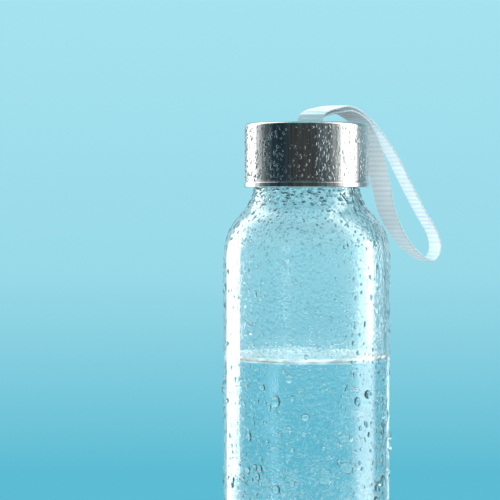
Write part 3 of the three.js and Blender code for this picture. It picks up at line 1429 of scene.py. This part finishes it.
@dataclass
class Condensation:
    """Water droplets on the glass and the cap."""

    dice: random.Random = field(default_factory=lambda: random.Random(SEED))
    sunk: float = 0.25

    def droplet(self, detail: int) -> bpy.types.Mesh:
        """Make one droplet of unit radius, cut off flat just below its middle.

        Args:
            detail: how often its sphere is subdivided.

        Returns:
            The mesh.
        """
        shape = bmesh.new()
        bmesh.ops.create_icosphere(shape, subdivisions=detail, radius=1)
        cut = bmesh.ops.bisect_plane(
            shape,
            geom=[*shape.verts, *shape.edges, *shape.faces],
            plane_co=(0, 0, -self.sunk),
            plane_no=(0, 0, 1),
            clear_inner=True,
        )
        rim = [item for item in cut["geom_cut"] if isinstance(item, bmesh.types.BMEdge)]
        bmesh.ops.contextual_create(shape, geom=rim)
        bmesh.ops.recalc_face_normals(shape, faces=shape.faces)
        mesh = bpy.data.meshes.new("droplet")
        shape.to_mesh(mesh)
        shape.free()
        return mesh

    def size(self, kind: Wetting) -> Vector:
        """Draw a droplet's half sizes across, along and off the surface.

        Args:
            kind: the kind of droplet.

        Returns:
            The half sizes.
        """
        radius = kind.smallest + (kind.largest - kind.smallest) * self.dice.random() ** kind.skew
        longer = kind.stretch * self.dice.uniform(0.85, 1.3)
        wide = self.dice.uniform(0.8, 1.1)
        thick = self.dice.uniform(0.4, 0.6)
        return Vector((radius * wide, radius * longer, radius * thick))

    def spot(self, kind: Wetting, outline: Outline) -> Spot:
        """Draw one droplet on a round surface, and again where it falls in the sparse part.

        Args:
            kind: the kind of droplet.
            outline: the surface's outline, upwards.

        Returns:
            Its centre, its surface's normal, its upward direction and its half sizes.
        """
        while True:
            height = self.dice.uniform(kind.low, kind.high)
            angle = self.dice.uniform(0, FULL_TURN)
            size = self.size(kind)
            index = next(i for i in range(1, len(outline)) if outline[i][1] >= height)
            (r0, z0), (r1, z1) = outline[index - 1], outline[index]
            radius = r0 + (r1 - r0) * (height - z0) / max(z1 - z0, 1e-9)
            slope = Vector((r1 - r0, z1 - z0)).normalized()
            out = Vector((math.cos(angle), math.sin(angle), 0))
            upward = out * slope.x + Vector((0, 0, slope.y))
            normal = out * slope.y - Vector((0, 0, slope.x))
            bearing = math.degrees(math.atan2(normal.x, -normal.y))
            crowded = kind.sparse_from < bearing < kind.sparse_to
            if not crowded or self.dice.random() < kind.kept:
                return out * radius + Vector((0, 0, height)), normal, upward, size

    def scatter(
        self,
        kind: Wetting,
        outline: Outline,
        body: Body,
        material: bpy.types.Material,
    ) -> bpy.types.Object:
        """Scatter one kind of droplet into one piece.

        Args:
            kind: the kind of droplet.
            outline: the outline of the surface that it sits on.
            body: the body that it rides on.
            material: its water.

        Returns:
            The piece.
        """
        pattern = self.droplet(kind.detail)
        shape = bmesh.new()
        for _ in range(kind.count):
            centre, normal, upward, size = self.spot(kind, outline)
            basis = Matrix((
                (*(upward.cross(normal) * size.x), 0),
                (*(upward * size.y), 0),
                (*(normal * size.z), 0),
                (0, 0, 0, 1),
            )).transposed()
            lean = Matrix.Rotation(self.dice.uniform(0, FULL_TURN), 4, "Z")
            copy = pattern.copy()
            copy.transform(Matrix.Translation(centre) @ basis @ lean)
            shape.from_mesh(copy, face_normals=False, vertex_normals=False)
            bpy.data.meshes.remove(copy)
        bpy.data.meshes.remove(pattern)
        piece = make_piece(kind.name, shape, material, 60)
        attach(piece, body.value)
        return piece

    def build(
        self,
        bottle: GlassBottle,
        cap: ScrewCap,
        on_glass: bpy.types.Material,
        on_steel: bpy.types.Material,
    ) -> list[bpy.types.Object]:
        """Scatter all the droplets.

        Args:
            bottle: the bottle that they sit on.
            cap: its cap.
            on_glass: the water of droplets on glass.
            on_steel: the water of droplets on steel.

        Returns:
            The pieces.
        """
        rim = cap.rim
        glass = [*bottle.surface(), (bottle.neck_radius, rim + 4 * MM)]
        steel = [(cap.radius, rim), (cap.radius, cap.top)]
        glass_kinds = [
            Wetting("glass_mist", 7100, 8 * MM, rim - 2 * MM, 0.10 * MM, 0.34 * MM, detail=1),
            Wetting(
                "glass_droplets", 2250, 12 * MM, rim - 2 * MM, 0.3 * MM, 0.85 * MM, 1.3, 2.4,
                sparse_from=-28, sparse_to=20, kept=0.4,
            ),
            Wetting(
                "neck_droplets", 1100, 166 * MM, rim - 0.8 * MM, 0.22 * MM, 0.62 * MM, 0.85, 1.6,
            ),
            Wetting("glass_drops", 150, 14 * MM, 118 * MM, 0.8 * MM, 1.9 * MM, 1.1, 1.6),
            Wetting(
                "collar_droplets", 260, rim - 7 * MM, rim - 0.5 * MM, 0.4 * MM, 1.1 * MM, 0.55, 1.5,
            ),
        ]
        cap_kind = Wetting(
            "cap_droplets", 2200, rim + cap.hem_height + 0.6 * MM, cap.top - 1.8 * MM,
            0.18 * MM, 0.6 * MM, 1.2, 2.0,
            sparse_from=-22, sparse_to=6, kept=0.25,
        )
        return [
            *(self.scatter(kind, glass, Body.BOTTLE, on_glass) for kind in glass_kinds),
            self.scatter(cap_kind, steel, Body.CAP, on_steel),
        ]


# ---- The studio ------------------------------------------------------------


@dataclass
class Studio:
    """Floor, surrounding light, sky and the camera."""

    eye_height: float = 0.1896
    distance: float = 0.9
    camera_x: float = -0.0225
    aim_height: float = 0.1645
    seen_width: float = 0.1988
    sensor: float = 36
    floor_radius: float = 0.45
    floor_drop: float = 0.2 * MM
    surround_radius: float = 0.75
    surround_steps: int = 72
    back_gap: float = 30
    lamp_colour: Colour = (1.0, 0.88, 0.80)
    lamp_target: float = 0.16
    edge_bearing: float = -119
    edge_distance: float = 0.6
    edge_height: float = 0.15
    edge_size: tuple[float, float] = (0.2, 0.6)
    edge_power: float = 3.2
    sky_top: Colour = linear(166, 227, 240)
    sky_middle: Colour = linear(153, 218, 233)
    sky_low: Colour = linear(92, 188, 211)

    def build_camera(self) -> None:
        """Place the camera."""
        lens = bpy.data.cameras.new("camera")
        camera = bpy.data.objects.new("camera", lens)
        bpy.context.scene.collection.objects.link(camera)
        place = Vector((self.camera_x, -self.distance, self.eye_height))
        aim = Vector((self.camera_x, 0, self.aim_height))
        camera.location = place
        camera.rotation_euler = (aim - place).to_track_quat("-Z", "Y").to_euler()
        lens.sensor_width = self.sensor
        lens.lens = self.sensor * (aim - place).length / self.seen_width
        bpy.context.scene.camera = camera

    def build_world(self) -> None:
        """Light the surroundings with a plain pale sky that deepens downwards."""
        world = bpy.data.worlds.new("studio")
        bpy.context.scene.world = world
        graph = Graph(world)
        _, _, upwards = graph.axes(graph.add("ShaderNodeTexCoord").outputs["Generated"])
        reach = {"Value": upwards, "From Min": -0.125, "From Max": 0.085}
        spread = graph.value("ShaderNodeMapRange", inputs=reach)
        stops = [(0.0, self.sky_low), (0.42, self.sky_middle), (1.0, self.sky_top)]
        ramp = graph.add("ShaderNodeValToRGB", {"stops": stops}, {0: spread})
        sky = graph.add("ShaderNodeBackground", inputs={"Color": ramp.outputs[0]})
        graph.add("ShaderNodeOutputWorld", inputs={"Surface": sky.outputs[0]})

    @staticmethod
    def _hang(light: bpy.types.AreaLight, place: Vector, target: float) -> bpy.types.Object:
        """Hang a light that neither the camera nor a reflection shows.

        Args:
            light: the light.
            place: where it hangs.
            target: the height on the bottle's axis that it points at.

        Returns:
            Its lamp.
        """
        lamp = bpy.data.objects.new(light.name, light)
        bpy.context.scene.collection.objects.link(lamp)
        lamp.location = place
        lamp.rotation_euler = (Vector((0, 0, target)) - place).to_track_quat("-Z", "Y").to_euler()
        lamp.visible_camera = False
        lamp.visible_glossy = False
        return lamp

    def build_lamp(
        self,
        name: str,
        place: tuple[float, float, float],
        size: float,
        power: float,
    ) -> None:
        """Hang a soft square lamp that lights matt surfaces.

        Args:
            name: its name.
            place: where it hangs.
            size: the length of its side.
            power: its power in watts.
        """
        light = bpy.data.lights.new(name, "AREA")
        light.size = size
        light.energy = power
        light.color = self.lamp_colour
        lamp = self._hang(light, Vector(place), self.lamp_target)
        lamp.visible_transmission = False

    def build_edge_light(self) -> None:
        """Stand an upright light behind the bottle that shows through the glass at its edge."""
        light = bpy.data.lights.new("edge_light", "AREA")
        light.shape = "RECTANGLE"
        light.size, light.size_y = self.edge_size
        light.energy = self.edge_power
        angle = math.radians(self.edge_bearing)
        place = Vector((math.sin(angle), -math.cos(angle), 0)) * self.edge_distance
        place.z = self.edge_height
        self._hang(light, place, self.edge_height)

    def build_surround(self, material: bpy.types.Material) -> None:
        """Stand a wall of light round the bottle, open at the back and seen in reflections only.

        Args:
            material: its glow.
        """
        shape = bmesh.new()
        profile = ((1, -0.3), (1, 0.45), (0.8, 0.75), (0.4, 0.95))
        half_gap = math.radians(self.back_gap / 2)
        turned = Matrix.Rotation(math.pi / 2 + half_gap, 3, "Z")
        verts = [
            shape.verts.new(turned @ Vector((self.surround_radius * share, 0, height)))
            for share, height in profile
        ]
        edges = [shape.edges.new(pair) for pair in zip(verts, verts[1:])]
        bmesh.ops.spin(
            shape,
            geom=verts + edges,
            cent=(0, 0, 0),
            axis=(0, 0, 1),
            angle=2 * (math.pi - half_gap),
            steps=self.surround_steps,
        )
        wall = make_piece("surround", shape, material)
        wall.visible_camera = False
        wall.visible_transmission = False
        wall.visible_diffuse = False
        wall.visible_shadow = False

    def build_floor(self, material: bpy.types.Material) -> None:
        """Lay a round pale floor.

        Args:
            material: its paint.
        """
        shape = bmesh.new()
        bmesh.ops.create_circle(shape, cap_ends=True, segments=96, radius=self.floor_radius)
        floor = make_piece("floor", shape, material)
        floor.location.z = -self.floor_drop

    def build(self) -> None:
        """Set the whole studio."""
        self.build_camera()
        self.build_world()
        self.build_floor(PlainPaint("floor_paint", (0.36, 0.50, 0.55)).build())
        self.build_surround(SurroundGlow().build())
        self.build_lamp("top_lamp", (0.2, 0.1, 0.8), 0.35, 4.2)
        self.build_lamp("front_lamp", (-0.2, -0.85, 0.0), 0.5, 4.6)
        self.build_edge_light()


# ---- Everything in order ---------------------------------------------------


def report(pieces: Iterable[bpy.types.Object]) -> None:
    """Log each piece with its face count."""
    for piece in pieces:
        log.info("%s: %d faces", piece.name, len(piece.data.polygons))


def main() -> None:
    """Build the bottle, its cap, strap, water and droplets, and the studio round them."""
    logging.basicConfig(level=logging.INFO, format="%(name)s: %(message)s")
    scene = bpy.context.scene
    scene.view_settings.view_transform = "Standard"
    scene.cycles.max_bounces = 24
    scene.cycles.transmission_bounces = 22
    scene.cycles.glossy_bounces = 6

    studio = Studio()
    studio.build()

    bottle = GlassBottle()
    glass = bottle.build_glass(ClearGlass().build())
    water = bottle.build_water(StillWater().build())
    report([glass, water])

    cap = ScrewCap()
    steel = BrushedSteel().build()
    shell = cap.build_shell(steel)
    liner = cap.build_liner(ClearLiner().build(), bottle)
    ring = cap.build_ring(SoftSeal().build())
    pin = cap.dress_pin(BrushedSteel("pin_steel").build())
    report([shell, liner, ring, pin])

    strap = WovenStrap().build(WovenNylon().build())
    report([strap])

    droplets, beads = DropletWater().build(), BeadWater().build()
    drops = Condensation().build(bottle, cap, droplets, beads)
    report(drops)


if __name__ == "__main__":
    main()
